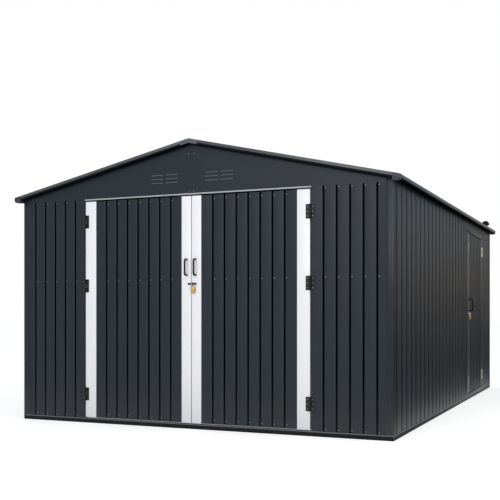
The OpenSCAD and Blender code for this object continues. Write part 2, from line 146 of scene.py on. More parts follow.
def coat_group():
    """A sprayed coat: its drift in shade, its fine pebbled skin, rain streaks, the dust that
    gathers near the ground, and painted shade where the "fold" attribute marks it."""
    tree, given, result = shader_group(
        "sprayed_coat",
        {
            "Colour": ("NodeSocketColor", (0.03, 0.033, 0.038, 1)),
            "Dust Colour": ("NodeSocketColor", (0.12, 0.11, 0.10, 1)),
            "Dust": ("NodeSocketFloat", 0.25),
            "Dust Height": ("NodeSocketFloat", 0.5),
            "Drift": ("NodeSocketFloat", 0.12),
            "Roughness": ("NodeSocketFloat", 0.38),
            "Pebble Scale": ("NodeSocketFloat", 900.0),
        },
        {"Colour": "NodeSocketColor", "Roughness": "NodeSocketFloat", "Height": "NodeSocketFloat",
         "Unshaded": "NodeSocketFloat"},
    )
    place = add_node(tree, "ShaderNodeTexCoord").outputs["Object"]
    apart = add_node(tree, "ShaderNodeSeparateXYZ")
    wire(tree, place, apart.inputs[0])

    broad = noise(tree, place, 1.3, 2.0)
    stretch = add_node(tree, "ShaderNodeMapping")
    stretch.inputs["Scale"].default_value = (22.0, 22.0, 0.7)
    wire(tree, place, stretch.inputs["Vector"])
    streak = noise(tree, stretch.outputs[0], 1.0, 4.0)
    speck = noise(tree, place, 55.0, 5.0, 0.7)

    # Dust is thickest at the ground and broken up by the streaks and specks
    height = maths(tree, "DIVIDE", apart.outputs["Z"], given.outputs["Dust Height"])
    low = maths(tree, "SUBTRACT", 1.0, height)
    low = maths(tree, "MAXIMUM", low, 0.0)
    low = maths(tree, "POWER", low, 1.8)
    broken = maths(tree, "MULTIPLY", maths(tree, "ADD", streak, speck), low)
    dust = maths(tree, "MULTIPLY", broken, given.outputs["Dust"])
    dust = maths(tree, "MINIMUM", dust, 1.0)

    # The shade drifts a little to each side of the coat's own colour
    drift = maths(tree, "SUBTRACT", maths(tree, "MULTIPLY_ADD", streak, 0.5, broad), 0.75)
    drift = maths(tree, "MULTIPLY", drift, given.outputs["Drift"])
    shade = maths(tree, "MULTIPLY_ADD", drift, 2.0, 1.0)
    tint = add_node(tree, "ShaderNodeVectorMath", operation="SCALE")
    wire(tree, given.outputs["Colour"], tint.inputs[0])

    # Painted shade in the grooves and wherever the "fold" attribute marks it: the unshaded share is
    # 1 on the open face and 0 at a groove's foot, where the colour falls to 8 percent and the sheen to
    # nothing
    fold = add_node(tree, "ShaderNodeAttribute", attribute_name="fold")
    unshaded = maths(tree, "SUBTRACT", 1.0, fold.outputs["Fac"])
    unshaded = maths(tree, "MAXIMUM", unshaded, 0.0)
    wire(tree, unshaded, result.inputs["Unshaded"])
    shade = maths(tree, "MULTIPLY", shade, maths(tree, "MULTIPLY_ADD", unshaded, 0.92, 0.08))
    wire(tree, shade, tint.inputs["Scale"])
    dusty = add_node(tree, "ShaderNodeMix", data_type="RGBA")
    wire(tree, dust, dusty.inputs["Factor"])
    wire(tree, tint.outputs[0], dusty.inputs[6])
    wire(tree, given.outputs["Dust Colour"], dusty.inputs[7])
    wire(tree, dusty.outputs[2], result.inputs["Colour"])

    rough = maths(tree, "MULTIPLY_ADD", speck, 0.10, given.outputs["Roughness"])
    rough = maths(tree, "MULTIPLY_ADD", broad, 0.06, rough)
    rough = maths(tree, "MULTIPLY_ADD", dust, 0.3, rough)
    rough = maths(tree, "SUBTRACT", rough, 0.08)
    wire(tree, rough, result.inputs["Roughness"])

    pebble = add_node(tree, "ShaderNodeTexNoise")
    pebble.inputs["Detail"].default_value = 2.0
    wire(tree, place, pebble.inputs["Vector"])
    wire(tree, given.outputs["Pebble Scale"], pebble.inputs["Scale"])
    wire(tree, pebble.outputs["Fac"], result.inputs["Height"])
    return tree


def worn_metal_group():
    """Bare or plated metal: fine drawn lines, small scratches and dull patches."""
    tree, given, result = shader_group(
        "worn_metal",
        {
            "Colour": ("NodeSocketColor", (0.6, 0.42, 0.15, 1)),
            "Dull Colour": ("NodeSocketColor", (0.3, 0.2, 0.08, 1)),
            "Dulling": ("NodeSocketFloat", 0.4),
            "Roughness": ("NodeSocketFloat", 0.25),
        },
        {"Colour": "NodeSocketColor", "Roughness": "NodeSocketFloat", "Height": "NodeSocketFloat"},
    )
    place = add_node(tree, "ShaderNodeTexCoord").outputs["Object"]
    patch = noise(tree, place, 60.0, 5.0, 0.65)
    stretch = add_node(tree, "ShaderNodeMapping")
    stretch.inputs["Scale"].default_value = (90.0, 90.0, 1800.0)
    wire(tree, place, stretch.inputs["Vector"])
    lines = noise(tree, stretch.outputs[0], 1.0, 2.0)
    mask = maths(tree, "MULTIPLY", patch, given.outputs["Dulling"])
    blend = add_node(tree, "ShaderNodeMix", data_type="RGBA")
    wire(tree, mask, blend.inputs["Factor"])
    wire(tree, given.outputs["Colour"], blend.inputs[6])
    wire(tree, given.outputs["Dull Colour"], blend.inputs[7])
    wire(tree, blend.outputs[2], result.inputs["Colour"])
    rough = maths(tree, "MULTIPLY_ADD", mask, 0.35, given.outputs["Roughness"])
    wire(tree, rough, result.inputs["Roughness"])
    wire(tree, lines, result.inputs["Height"])
    return tree


COAT = coat_group()
WORN_METAL = worn_metal_group()


def finish_material(name, group, values, bump, **sockets):
    """A material that takes colour, roughness and bump from one of the groups."""
    material = bpy.data.materials.new(name)
    material.use_nodes = True
    tree = material.node_tree
    shader = tree.nodes["Principled BSDF"]
    for label, value in sockets.items():
        shader.inputs[label.replace("_", " ")].default_value = value
    skin = add_node(tree, "ShaderNodeGroup", node_tree=group)
    for label, value in values.items():
        skin.inputs[label].default_value = value
    wire(tree, skin.outputs["Colour"], shader.inputs["Base Color"])
    wire(tree, skin.outputs["Roughness"], shader.inputs["Roughness"])
    relief = add_node(tree, "ShaderNodeBump")
    relief.inputs["Strength"].default_value = bump
    relief.inputs["Distance"].default_value = 0.0004
    wire(tree, skin.outputs["Height"], relief.inputs["Height"])
    wire(tree, relief.outputs[0], shader.inputs["Normal"])
    return material


def skin_of(tree):
    """The group node that gives a material its colour."""
    return next(node for node in tree.nodes if node.type == "GROUP")


def coat(name, colour, roughness, dust=0.25, bump=0.18, drift=0.12, shine=0.2):
    values = {"Colour": (*colour, 1), "Roughness": roughness, "Dust": dust, "Drift": drift}
    material = finish_material(name, COAT, values, bump)
    tree = material.node_tree
    skin = skin_of(tree)
    # The sheen falls with the painted shade in the folds
    level = maths(tree, "MULTIPLY", skin.outputs["Unshaded"], shine)
    wire(tree, level, tree.nodes["Principled BSDF"].inputs["Specular IOR Level"])
    return material


def metal(name, colour, dull, roughness, dulling):
    values = {"Colour": (*colour, 1), "Dull Colour": (*dull, 1), "Roughness": roughness,
              "Dulling": dulling}
    return finish_material(name, WORN_METAL, values, 0.15, Metallic=1.0)


def paint_trim_shade(material):
    """Paints shade on the lower part of the roof trims, which hang at one height below the
    slopes: more than 11 mm below the slope line their colour falls to 12 percent and their sheen
    with it, as painted shade under the roof edge."""
    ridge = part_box("gable_front_right")[1].z
    tree = material.node_tree
    shader = tree.nodes["Principled BSDF"]
    skin = skin_of(tree)
    apart = add_node(tree, "ShaderNodeSeparateXYZ")
    wire(tree, add_node(tree, "ShaderNodeTexCoord").outputs["Object"], apart.inputs[0])
    out = maths(tree, "ABSOLUTE", apart.outputs["X"])
    above = maths(tree, "MULTIPLY_ADD", out, math.tan(ROOF_PITCH), apart.outputs["Z"])
    above = maths(tree, "SUBTRACT", above, ridge)
    edge = add_node(tree, "ShaderNodeMapRange")
    edge.inputs["From Min"].default_value = -0.011
    edge.inputs["From Max"].default_value = -0.008
    edge.inputs["To Min"].default_value = 0.12
    edge.inputs["To Max"].default_value = 1.0
    wire(tree, above, edge.inputs["Value"])
    dim = add_node(tree, "ShaderNodeVectorMath", operation="SCALE")
    wire(tree, skin.outputs["Colour"], dim.inputs[0])
    wire(tree, edge.outputs[0], dim.inputs["Scale"])
    wire(tree, dim.outputs[0], shader.inputs["Base Color"])
    shine = maths(tree, "MULTIPLY", edge.outputs[0], 0.3)
    wire(tree, shine, shader.inputs["Specular IOR Level"])


ANTHRACITE = (0.0105, 0.0150, 0.0225)
MATERIALS = {
    "anthracite_sheet": coat("anthracite_sheet", ANTHRACITE, 0.40, dust=0.12),
    "roof_sheet": coat("roof_sheet", ANTHRACITE, 0.40, dust=0.0, drift=0.2),
    "roof_trim": coat("roof_trim", (0.048, 0.053, 0.062), 0.36, dust=0.0),
    "dark_frame": coat("dark_frame", (0.014, 0.015, 0.017), 0.45, dust=0.2),
    "base_rail": coat("base_rail", (0.005, 0.0055, 0.0065), 0.5, dust=0.05, shine=0.08),
    "side_door_frame": coat("side_door_frame", ANTHRACITE, 0.34),
    "pale_stile": coat("pale_stile", (0.74, 0.745, 0.76), 0.32, dust=0.15, drift=0.03, shine=0.4),
    "black_hardware": coat("black_hardware", (0.006, 0.006, 0.0065), 0.38, dust=0.1, shine=0.2),
    "zinc_plate": metal("zinc_plate", (0.50, 0.50, 0.45), (0.22, 0.22, 0.19), 0.38, 0.6),
    "padlock_brass": metal("padlock_brass", (0.58, 0.36, 0.11), (0.22, 0.13, 0.05), 0.26, 0.6),
    "black_plastic": coat("black_plastic", (0.003, 0.003, 0.0033), 0.5, dust=0.0, bump=0.3, shine=0.1),
}
paint_trim_shade(MATERIALS["roof_trim"])
RIDGE_GREY = coat("ridge_grey", (0.075, 0.082, 0.095), 0.36, dust=0.0)
SCREW_STEEL = metal("screw_steel", (0.20, 0.21, 0.23), (0.08, 0.08, 0.09), 0.4, 0.7)
# A grey far lighter than the sheet and the rail: painted highlight on the louvre hoods and on the base
# rail's lip
LIP_HIGHLIGHT = coat("lip_highlight", (0.11, 0.12, 0.13), 0.4, dust=0.0)
CAP_GREY = coat("cap_grey", (0.030, 0.033, 0.039), 0.42, dust=0.0)
HEADER_GREY = coat("header_grey", (0.34, 0.345, 0.35), 0.4, dust=0.0)
SHACKLE_STEEL = metal("shackle_steel", (0.60, 0.58, 0.52), (0.25, 0.24, 0.22), 0.25, 0.4)


# ---- mesh helpers ----

def linked(name, data):
    """A new object in the scene."""
    made = bpy.data.objects.new(name, data)
    bpy.context.collection.objects.link(made)
    return made


def plain_mesh(holder):
    """The holder's mesh with its modifiers applied. The holder goes."""
    bpy.context.view_layer.update()
    seen = holder.evaluated_get(bpy.context.evaluated_depsgraph_get())
    done = bpy.data.meshes.new_from_object(seen)
    bpy.data.objects.remove(holder)
    return done


def new_piece(name, mesh, body, slot, material=None, nodes=()):
    """Puts a finished mesh, already in the frame's place, onto its body."""
    piece = linked(name, mesh)
    mesh.materials.clear()
    mesh.materials.append(material or MATERIALS[slot])
    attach(piece, body)
    if nodes:
        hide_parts(*nodes)
    return piece


def mesh_from(form, name, smooth_angle=35.0):
    """Closes a bmesh into a mesh with outward faces and sharp folds kept."""
    bmesh.ops.remove_doubles(form, verts=form.verts, dist=MERGE_WITHIN)
    bmesh.ops.recalc_face_normals(form, faces=form.faces)
    for face in form.faces:
        face.smooth = True
    mesh = bpy.data.meshes.new(name)
    form.to_mesh(mesh)
    form.free()
    mesh.set_sharp_from_angle(angle=math.radians(smooth_angle))
    return mesh


def rounded(points, radius, steps=3):
    """A polyline with each inner corner turned into a short arc."""
    out = [points[0]]
    for before, corner, after in zip(points, points[1:], points[2:]):
        to_before = (before - corner).normalized()
        to_after = (after - corner).normalized()
        start = corner + to_before * min(radius, (before - corner).length * 0.45)
        end = corner + to_after * min(radius, (after - corner).length * 0.45)
        for step in range(steps + 1):
            t = step / steps
            out.append(start.lerp(corner, t).lerp(corner.lerp(end, t), t))
    out.append(points[-1])
    return out


def offset_line(points, distance):
    """The polyline moved sideways by a distance, to the left of its direction."""
    out = []
    for place, point in enumerate(points):
        ahead = points[min(place + 1, len(points) - 1)]
        behind = points[max(place - 1, 0)]
        way = (ahead - behind).normalized()
        out.append(point + Vector((-way.y, way.x)) * distance)
    return out


def fold_line(run, places, depth, radius):
    """The face of a grooved sheet in plan: flat strips with rounded grooves between."""
    points = [Vector((0, 0))]
    for g in places:
        for x, y in ((-GROOVE_MOUTH / 2, 0), (-GROOVE_FOOT / 2, depth),
                     (GROOVE_FOOT / 2, depth), (GROOVE_MOUTH / 2, 0)):
            points.append(Vector((g + x, y)))
    points.append(Vector((run, 0)))
    return rounded(points, radius)


def even(first, last, pitch):
    """Places from first to last, as near to a pitch apart as divides evenly."""
    count = round((last - first) / pitch)
    return [first + (last - first) * i / count for i in range(count + 1)]


def folded_sheet(name, node, places, origin, along, inward, up, size, body="garage",
                 slot="anthracite_sheet", rows=14, ripple=0.0005, marks=(0.0, 0.3),
                 radius=FOLD_RADIUS):
    """A thin folded sheet that stands for a CAD wall sheet. It bows by a fraction of a
    millimetre between its fixings, as light sheet does. The "fold" attribute carries painted
    shade: 0 where the coat keeps its own colour and 1 where it is painted darkest. marks gives it
    for the flat strips and for the back; when the first mark is 0, the face's grooves take painted
    shade that reaches full a little way into each groove."""
    run, depth, height = size
    face = fold_line(run, places, depth - SHEET_T, radius)
    back = offset_line(face, SHEET_T)
    form = bmesh.new()
    fold = form.verts.layers.float.new("fold")

    def ring(line, row, mark):
        z = height * row / rows
        bow = math.sin(math.pi * row / rows)
        verts = []
        for point in line:
            wave = math.sin(point.x * 7.3 + 1.7) + math.sin(point.x * 17.0 + z * 3.1)
            hollow = abs(wave) * ripple * bow
            vert = form.verts.new(origin + along * point.x + inward * (point.y + hollow)
                                  + up * z)
            vert[fold] = mark
            # Painted shade in the grooves, growing with their depth
            if line is face and marks[0] == 0.0:
                vert[fold] = min(max(8 * point.y / depth - 0.1, 0.0), 1.0)
            verts.append(vert)
        return verts

    faces = [ring(face, row, marks[0]) for row in range(rows + 1)]
    backs = [ring(back, row, marks[1]) for row in range(rows + 1)]
    for low, high in zip(faces, faces[1:]):
        for a, b, c, d in zip(low, low[1:], high[1:], high):
            form.faces.new((a, b, c, d))
    for low, high in zip(backs, backs[1:]):
        for a, b, c, d in zip(low, high, high[1:], low[1:]):
            form.faces.new((a, b, c, d))
    for front, rear in ((faces[0], backs[0]), (faces[-1], backs[-1])):
        for a, b, c, d in zip(front, front[1:], rear[1:], rear):
            form.faces.new((a, b, c, d))
    for side in (0, -1):
        for a, b, c, d in zip(faces, faces[1:], backs[1:], backs):
            form.faces.new((a[side], b[side], c[side], d[side]))
    return new_piece(name, mesh_from(form, name, 60.0), body, slot, nodes=(node,))


def softened(node, width=0.0012, segments=2, material=None):
    """Stands for a CAD node with its sharp edges rounded, as folded and cast edges are."""
    source = frame["nodes"][node]
    form = bmesh.new()
    form.from_mesh(source.data)
    bmesh.ops.remove_doubles(form, verts=form.verts, dist=MERGE_WITHIN)
    bmesh.ops.dissolve_limit(form, angle_limit=math.radians(0.5), verts=form.verts,
                             edges=form.edges)
    mesh = bpy.data.meshes.new(node + "_soft")
    form.to_mesh(mesh)
    form.free()
    holder = linked("holder", mesh)
    bevel = holder.modifiers.new("edges", "BEVEL")
    bevel.width = width
    bevel.segments = segments
    bevel.limit_method = "ANGLE"
    bevel.angle_limit = math.radians(30)
    done = plain_mesh(holder)
    for polygon in done.polygons:
        polygon.use_smooth = True
    done.set_sharp_from_angle(angle=math.radians(50))
    return new_piece(node + "_finished", done, body_of(source)[0],
                     NODE_SLOT[node], material, (node,))


def tube(form, path, radius, sides=12):
    """Sweeps a round bar, closed at both ends, along a path of points."""
    rings = []
    guide = Vector((0.31, 0.17, 0.93)).normalized()
    for place, point in enumerate(path):
        ahead = path[min(place + 1, len(path) - 1)]
        behind = path[max(place - 1, 0)]
        way = (ahead - behind).normalized()
        across = way.cross(guide).normalized()
        guide = across.cross(way).normalized()
        rings.append([form.verts.new(point + (across * math.cos(a) + guide * math.sin(a)) * radius)
                      for a in (2 * math.pi * s / sides for s in range(sides))])
    for low, high in zip(rings, rings[1:]):
        for s in range(sides):
            t = (s + 1) % sides
            form.faces.new((low[s], low[t], high[t], high[s]))
    form.faces.new(rings[0])
    form.faces.new(rings[-1])


def block(form, low, high, bevel=0.0, segments=2):
    """A box between two corners, with its edges rounded."""
    low, high = Vector(low), Vector(high)
    made = bmesh.ops.create_cube(form, size=1.0)["verts"]
    size = high - low
    for vert in made:
        vert.co = Vector(((vert.co.x + 0.5) * size.x, (vert.co.y + 0.5) * size.y,
                          (vert.co.z + 0.5) * size.z)) + low
    if bevel:
        edges = {edge for vert in made for edge in vert.link_edges}
        bmesh.ops.bevel(form, geom=list(edges), offset=bevel, segments=segments,
                        affect="EDGES", profile=0.5)


# ---- repeated pieces, placed by one Geometry Nodes tree ----

def copies_tree():
    """Copies of a pattern on points, turned one way, each spun by a random part of Spin."""
    tree = bpy.data.node_groups.new("copies_on_points", "GeometryNodeTree")
    sockets = tree.interface
    sockets.new_socket(name="Points", in_out="INPUT", socket_type="NodeSocketGeometry")
    sockets.new_socket(name="Pattern", in_out="INPUT", socket_type="NodeSocketObject")
    sockets.new_socket(name="Turn", in_out="INPUT", socket_type="NodeSocketRotation")
    sockets.new_socket(name="Size", in_out="INPUT", socket_type="NodeSocketFloat")
    sockets.new_socket(name="Spin", in_out="INPUT", socket_type="NodeSocketFloat")
    sockets.new_socket(name="Seed", in_out="INPUT", socket_type="NodeSocketInt")
    sockets.new_socket(name="Finish", in_out="INPUT", socket_type="NodeSocketMaterial")
    sockets.new_socket(name="Geometry", in_out="OUTPUT", socket_type="NodeSocketGeometry")
    given = add_node(tree, "NodeGroupInput")
    result = add_node(tree, "NodeGroupOutput")
    pattern = add_node(tree, "GeometryNodeObjectInfo")
    wire(tree, given.outputs["Pattern"], pattern.inputs["Object"])
    spin = add_node(tree, "FunctionNodeRandomValue", data_type="FLOAT")
    wire(tree, given.outputs["Spin"], spin.inputs[3])
    wire(tree, given.outputs["Seed"], spin.inputs["Seed"])
    about = add_node(tree, "FunctionNodeAxisAngleToRotation")
    about.inputs["Axis"].default_value = (0, 0, 1)
    wire(tree, spin.outputs[1], about.inputs["Angle"])
    turned = add_node(tree, "FunctionNodeRotateRotation", rotation_space="LOCAL")
    wire(tree, given.outputs["Turn"], turned.inputs[0])
    wire(tree, about.outputs[0], turned.inputs[1])
    spread = add_node(tree, "GeometryNodeInstanceOnPoints")
    wire(tree, given.outputs["Points"], spread.inputs["Points"])
    wire(tree, pattern.outputs["Geometry"], spread.inputs["Instance"])
    wire(tree, turned.outputs[0], spread.inputs["Rotation"])
    wire(tree, given.outputs["Size"], spread.inputs["Scale"])
    real = add_node(tree, "GeometryNodeRealizeInstances")
    wire(tree, spread.outputs[0], real.inputs[0])
    dress = add_node(tree, "GeometryNodeSetMaterial")
    wire(tree, real.outputs[0], dress.inputs["Geometry"])
    wire(tree, given.outputs["Finish"], dress.inputs["Material"])
    wire(tree, dress.outputs[0], result.inputs[0])
    return tree


COPIES = copies_tree()


def copies(name, pattern, points, facing, body, slot, material, spin=0.0):
    """Copies of a pattern, whose +Z turns to the way the copies face, as one plain mesh."""
    mesh = bpy.data.meshes.new(name)
    mesh.from_pydata([tuple(p) for p in points], [], [])
    holder = linked("holder", mesh)
    # The pattern's own +Y stays as near to upright as the facing allows
    side = Z.cross(facing)
    side = side.normalized() if side.length > 0.01 else X
    turn = Matrix((side, facing.cross(side), facing)).transposed()
    modifier = holder.modifiers.new("copies", "NODES")
    modifier.node_group = COPIES
    values = {"Pattern": pattern, "Turn": turn.to_euler(), "Size": 1.0, "Spin": spin, "Seed": 7,
              "Finish": material}
    for socket in COPIES.interface.items_tree:
        if socket.in_out == "INPUT" and socket.name in values:
            modifier[socket.identifier] = values[socket.name]
    done = plain_mesh(holder)
    done.name = name
    return new_piece(name, done, body, slot, material)


def pattern_object(name, form):
    """An object that the copies are made from. It goes when they are made."""
    return linked(name, mesh_from(form, name))


def screw_pattern():
    """A self-drilling screw: a washer, then a flanged head with six flats."""
    form = bmesh.new()
    for radius, low, high, sides in ((HEAD_RADIUS * 1.35, -0.0004, 0.0007, 14),
                                     (HEAD_RADIUS * 0.85, 0.0006, 0.0034, 6)):
        made = bmesh.ops.create_cone(form, cap_ends=True, segments=sides, radius1=radius,
                                     radius2=radius * 0.86, depth=high - low)["verts"]
        bmesh.ops.translate(form, verts=made, vec=(0, 0, (low + high) / 2))
    return pattern_object("screw_pattern", form)


def louvre_pattern(width=0.104, height=0.007, reach=0.006):
    """A pressed louvre: a hood that swells out of the sheet over a lower slit."""
    form = bmesh.new()
    columns = 12
    arc = 6
    grid = []
    for c in range(columns + 1):
        u = c / columns
        end = math.sin(math.pi * u) ** 0.25 if 0 < u < 1 else 0.0
        column = []
        for a in range(arc + 1):
            v = a / arc
            y = height * (0.5 - v)
            z = reach * end * math.sin(math.pi / 2 * v) + 0.0002
            column.append(form.verts.new((width * (u - 0.5), y, z)))
        column.append(form.verts.new((width * (u - 0.5), -height * 0.5, 0.0002)))
        grid.append(column)
    for left, right in zip(grid, grid[1:]):
        for a, b, c, d in zip(left, left[1:], right[1:], right):
            form.faces.new((a, b, c, d))
    low = [column[-1] for column in grid]
    high = [column[0] for column in grid]
    for a, b, c, d in zip(low, low[1:], high[1:], high):
        form.faces.new((a, b, c, d))
    return pattern_object("louvre_pattern", form)


# ---- camera, light and ground ----

def make_camera():
    data = bpy.data.cameras.new("camera")
    camera = linked("camera", data)
    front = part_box("base_rails_front_rear")[0].y
    camera.location = (3.216, front - 6.195, 0.958)
    camera.rotation_euler = (math.radians(90), 0, 0.411)
    data.sensor_width = 36
    data.lens = 62.18
    data.shift_y = 0.1204
    bpy.context.scene.camera = camera


def seen_directly(tree):
    """1 for camera, mirror and glass rays, and 0 for the rays that light things."""
    path = add_node(tree, "ShaderNodeLightPath")
    total = maths(tree, "ADD", path.outputs["Is Camera Ray"], path.outputs["Is Glossy Ray"])
    total = maths(tree, "ADD", total, path.outputs["Is Transmission Ray"])
    return maths(tree, "MINIMUM", total, 1.0)


def make_world():
    world = bpy.data.worlds.new("studio")
    bpy.context.scene.world = world
    world.use_nodes = True
    tree = world.node_tree
    tree.nodes.clear()
    lighting = add_node(tree, "ShaderNodeBackground")
    lighting.inputs["Color"].default_value = (0.93, 0.96, 1.0, 1)
    lighting.inputs["Strength"].default_value = 0.68
    white = add_node(tree, "ShaderNodeBackground")
    white.inputs["Color"].default_value = (1, 1, 1, 1)
    mix = add_node(tree, "ShaderNodeMixShader")
    wire(tree, seen_directly(tree), mix.inputs["Fac"])
    wire(tree, lighting.outputs[0], mix.inputs[1])
    wire(tree, white.outputs[0], mix.inputs[2])
    wire(tree, mix.outputs[0], add_node(tree, "ShaderNodeOutputWorld").inputs["Surface"])


def make_floor():
    mesh = bpy.data.meshes.new("floor")
    reach = 60
    mesh.from_pydata([(-reach, -reach, 0), (reach, -reach, 0), (reach, reach, 0),
                      (-reach, reach, 0)], [], [(0, 1, 2, 3)])
    floor = linked("floor", mesh)
    material = bpy.data.materials.new("floor")
    material.use_nodes = True
    tree = material.node_tree
    shader = tree.nodes["Principled BSDF"]
    shader.inputs["Base Color"].default_value = (0.86, 0.86, 0.85, 1)
    shader.inputs["Roughness"].default_value = 0.9
    shader.inputs["Specular IOR Level"].default_value = 0.1
    glow = add_node(tree, "ShaderNodeEmission")
    wire(tree, maths(tree, "MULTIPLY", seen_directly(tree), 0.42), glow.inputs["Strength"])
    both = add_node(tree, "ShaderNodeAddShader")
    wire(tree, shader.outputs[0], both.inputs[0])
    wire(tree, glow.outputs[0], both.inputs[1])
    wire(tree, both.outputs[0], tree.nodes["Material Output"].inputs["Surface"])
    mesh.materials.append(material)


def area_light(name, place, aim, size, power, colour):
    data = bpy.data.lights.new(name, "AREA")
    data.shape = "RECTANGLE"
    data.size, data.size_y = size
    data.energy = power
    data.color = colour
    lamp = linked(name, data)
    lamp.location = place
    lamp.rotation_euler = (Vector(aim) - Vector(place)).to_track_quat("-Z", "Y").to_euler()


def make_card():
    """A card behind and beside the right wall, dimmer than the studio, which only
    reflections see. It is dark at the ground, warm in the middle and cool at the top."""
    mesh = bpy.data.meshes.new("flag")
    mesh.from_pydata([(1.9, 14, 0.004), (22, 10, 0.004), (22, 10, 9), (1.9, 14, 9),
                      (1.9, -5, 0.004), (22, -5, 0.004)], [], [(0, 1, 2, 3), (0, 4, 5, 1)])
    card = linked("flag", mesh)
    material = bpy.data.materials.new("flag")
    material.use_nodes = True
    tree = material.node_tree
    tree.nodes.clear()
    apart = add_node(tree, "ShaderNodeSeparateXYZ")
    wire(tree, add_node(tree, "ShaderNodeTexCoord").outputs["Object"], apart.inputs[0])
    ramp = add_node(tree, "ShaderNodeValToRGB")
    wire(tree, maths(tree, "DIVIDE", apart.outputs["Z"], 6.0), ramp.inputs[0])
    ramp.color_ramp.elements[0].color = (0.07, 0.068, 0.065, 1)
    ramp.color_ramp.elements[1].color = (0.50, 0.66, 0.90, 1)
    middle = ramp.color_ramp.elements.new(0.35)
    middle.color = (0.42, 0.36, 0.27, 1)
    glow = add_node(tree, "ShaderNodeEmission")
    wire(tree, ramp.outputs[0], glow.inputs[0])
    wire(tree, glow.outputs[0], add_node(tree, "ShaderNodeOutputMaterial").inputs["Surface"])
    mesh.materials.append(material)
    card.visible_camera = False
    card.visible_diffuse = False
    card.visible_shadow = False
    card.visible_transmission = False


def make_lights():
    area_light("front_softbox", (1.2, -13.0, 5.0), (0.6, -1, 0.8), (8, 4), 620, (0.98, 0.99, 1.0))
    area_light("side_softbox", (9.0, -1.0, 4.0), (1.6, 0, 1.0), (6, 3), 260, (1.0, 0.96, 0.90))


# ---- the garage ----

NODE_SLOT = {part["node"]: part["material_slot"] for part in frame["record"]["subparts"]}


def dress_cad_nodes():
    """Every CAD node that stays in view takes its slot's material."""
    for node, piece in frame["nodes"].items():
        piece.data.materials.clear()
        piece.data.materials.append(MATERIALS[NODE_SLOT[node]])


def make_wall_sheets():
    """The garage's folded sheets. Gives each wall's groove places, which its screws follow."""
    low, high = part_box("front_wall_right")
    size = (high.x - low.x, high.y - low.y, high.z - low.z)
    limit = size[0] - 0.057 - GROOVE_MOUTH
    fixed = [FIRST_FRONT_GROOVE + FRONT_PITCH * i for i in range(20)
             if FIRST_FRONT_GROOVE + FRONT_PITCH * i < limit]
    folded_sheet("front_wall_right_sheet", "front_wall_right", fixed,
                 low.copy(), X, Y, Z, size)
    folded_sheet("front_wall_left_sheet", "front_wall_left", fixed,
                 Vector((-low.x, low.y, low.z)), -X, Y, Z, size)
    front_places = [x * (low.x + g) for g in fixed for x in (-1, 1)]

    low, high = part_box("left_wall")
    run = high.y - low.y
    sides = even(CORNER_PLAIN, run - CORNER_PLAIN, SIDE_PITCH)
    folded_sheet("left_wall_sheet", "left_wall", sides, Vector((low.x, high.y, low.z)),
                 -Y, X, Z, (run, high.x - low.x, high.z - low.z), radius=SIDE_FOLD_RADIUS)
    left_places = [high.y - g for g in sides]

    low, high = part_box("right_wall_front")
    run = high.y - low.y
    nearer = [g for g in sides if g < run - 4 * GROOVE_MOUTH]
    folded_sheet("right_wall_front_sheet", "right_wall_front", nearer,
                 Vector((high.x, low.y, low.z)), Y, -X, Z,
                 (run, high.x - low.x, high.z - low.z), radius=SIDE_FOLD_RADIUS)
    right_places = [low.y + g for g in nearer]

    low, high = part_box("rear_wall")
    run = high.x - low.x
    inset = 0.097
    rear = even(inset, run - inset, FRONT_PITCH)
    folded_sheet("rear_wall_sheet", "rear_wall", rear, Vector((high.x, high.y, low.z)),
                 -X, -Y, Z, (run, high.y - low.y, high.z - low.z))
    rear_places = [high.x - g for g in rear]
    return front_places, left_places, right_places, rear_places


def leaf_places(run):
    """Where the grooves go on a door leaf: evenly, about one front pitch apart."""
    count = round(run / FRONT_PITCH)
    return [run * i / count for i in range(1, count)]


def make_door_sheets():
    """The three leaves' folded sheets. Gives each leaf's groove places."""
    found = {}
    for door in ("left_door", "right_door"):
        low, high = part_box(door + "_panel")
        places = leaf_places(high.x - low.x)
        folded_sheet(door + "_sheet", door + "_panel", places, low.copy(), X, Y, Z,
                     (high.x - low.x, high.y - low.y, high.z - low.z), body=door)
        found[door] = [low.x + g for g in places]
    low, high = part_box("side_door_panel")
    places = leaf_places(high.y - low.y)
    folded_sheet("side_door_sheet", "side_door_panel", places, Vector((high.x, low.y, low.z)),
                 Y, -X, Z, (high.y - low.y, high.x - low.x, high.z - low.z), body="side_door")
    found["side_door"] = [low.y + g for g in places]
    return found


def make_roof_sheets():
    """Both slopes with their ribs standing up. Gives each slope's screw places and facing."""
    ridge_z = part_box("gable_front_right")[1].z
    low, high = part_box("roof_right")
    run = high.y - low.y
    ribs = even(RIB_INSET, run - RIB_INSET, SIDE_PITCH)
    depth = SHEET_T + 0.010
    start = low.x / math.cos(ROOF_PITCH)
    length = (high.x - depth * math.sin(ROOF_PITCH)) / math.cos(ROOF_PITCH) - start
    points = {}
    for name, side in (("roof_right", 1), ("roof_left", -1)):
        down = Vector((side * math.cos(ROOF_PITCH), 0, -math.sin(ROOF_PITCH)))
        square = Vector((side * math.sin(ROOF_PITCH), 0, math.cos(ROOF_PITCH)))
        origin = Vector((0, low.y, ridge_z)) + down * start
        # marks=(0.9, 0.0) paints shade on the sheets' underside, the shade under the overhang; the top
        # keeps its colour
        folded_sheet(name + "_sheet", name, ribs, origin, Y, square, down,
                     (run, depth, length), slot="roof_sheet", rows=8, ripple=0.0, marks=(0.9, 0.0))
        points[name] = ([origin + Y * g + square * depth + down * (length * share)
                         for g in ribs[1:-1] for share in (0.07, 0.5, 0.93)], square)
    return points


def screw_rows(screw, name, points, facing, body="garage"):
    copies(name, screw, points, facing, body, "zinc_plate", SCREW_STEEL, math.tau)


